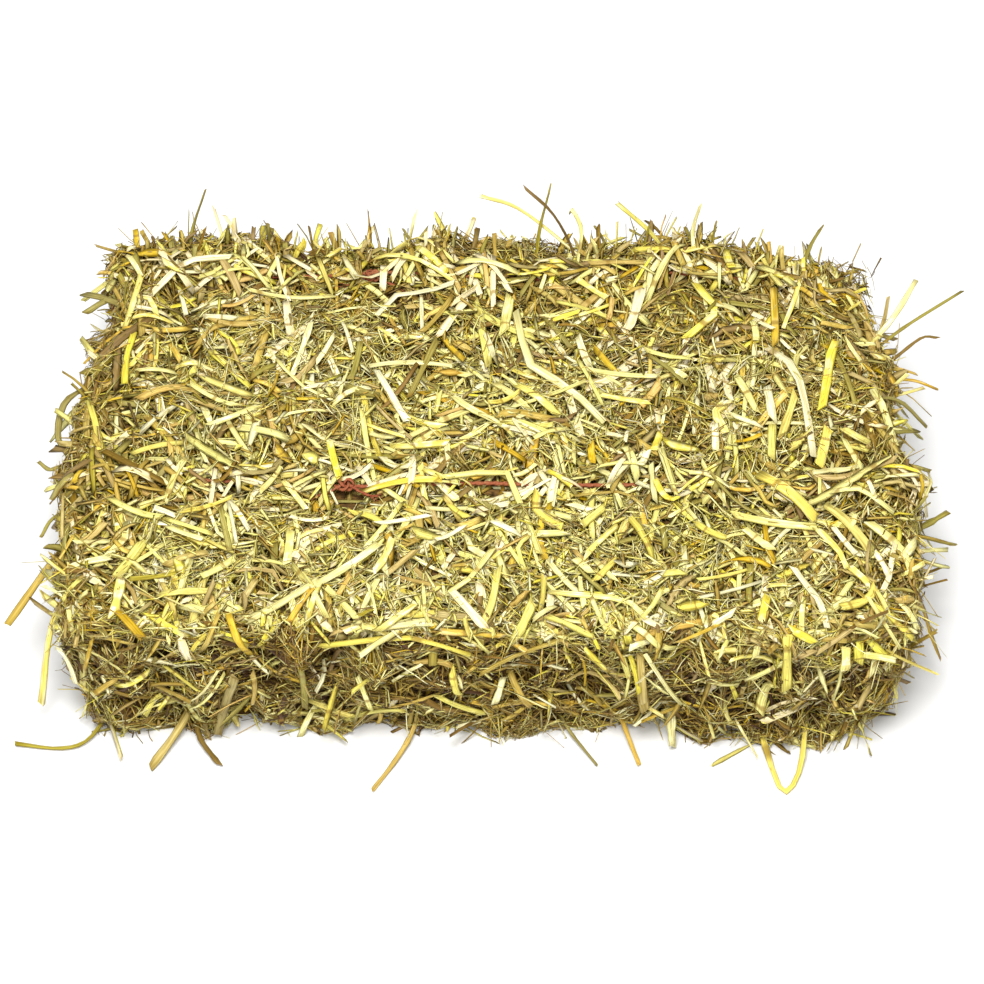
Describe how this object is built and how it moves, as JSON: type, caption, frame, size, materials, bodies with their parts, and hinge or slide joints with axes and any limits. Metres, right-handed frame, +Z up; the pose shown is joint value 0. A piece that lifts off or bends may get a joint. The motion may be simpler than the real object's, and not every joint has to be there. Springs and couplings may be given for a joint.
{
  "type": "square straw bale",
  "caption": "Small square straw bale: a low pressed block of cut straw with rounded edges, tied lengthwise with red twine, with loose stalks sticking out of its faces.",
  "frame": {"origin": "the middle of the flat face that the bale rests on", "axes": "+X along the bale's length, +Y from the front to the back across its width, +Z up through its thickness"},
  "size_m": [0.4825, 0.298, 0.1456],
  "materials": {
    "straw": "matte cut straw",
    "loose_straw": "satin dry stalk",
    "twine": "twisted twine"
  },
  "bodies": {
    "root": {"pressed_straw": "straw", "twine_front": "twine", "twine_back": "twine", "stray_stalk_back_1": "loose_straw", "stray_stalk_back_2": "loose_straw", "stray_stalk_back_3": "loose_straw", "stray_stalk_back_4": "loose_straw", "stray_stalk_back_5": "loose_straw", "stray_stalk_back_6": "loose_straw", "stray_stalk_back_7": "loose_straw", "stray_stalk_back_8": "loose_straw", "stray_stalk_right_1": "loose_straw", "stray_stalk_right_2": "loose_straw", "stray_stalk_right_3": "loose_straw", "stray_stalk_right_4": "loose_straw", "stray_stalk_right_5": "loose_straw", "stray_stalk_right_6": "loose_straw", "stray_stalk_right_7": "loose_straw", "stray_stalk_right_8": "loose_straw", "stray_stalk_right_9": "loose_straw", "stray_stalk_right_10": "loose_straw", "stray_stalk_left_1": "loose_straw", "stray_stalk_left_2": "loose_straw", "stray_stalk_left_3": "loose_straw", "stray_stalk_left_4": "loose_straw", "stray_stalk_left_5": "loose_straw", "stray_stalk_foot_1": "loose_straw", "stray_stalk_foot_2": "loose_straw", "stray_stalk_foot_3": "loose_straw", "stray_stalk_foot_4": "loose_straw", "stray_stalk_foot_5": "loose_straw", "stray_stalk_foot_6": "loose_straw", "stray_stalk_foot_7": "loose_straw", "stray_stalk_foot_8": "loose_straw", "stray_stalk_rear_1": "loose_straw", "stray_stalk_rear_2": "loose_straw", "stray_stalk_rear_3": "loose_straw", "stray_stalk_rear_4": "loose_straw", "stray_stalk_rear_5": "loose_straw"}
  },
  "joints": []
}
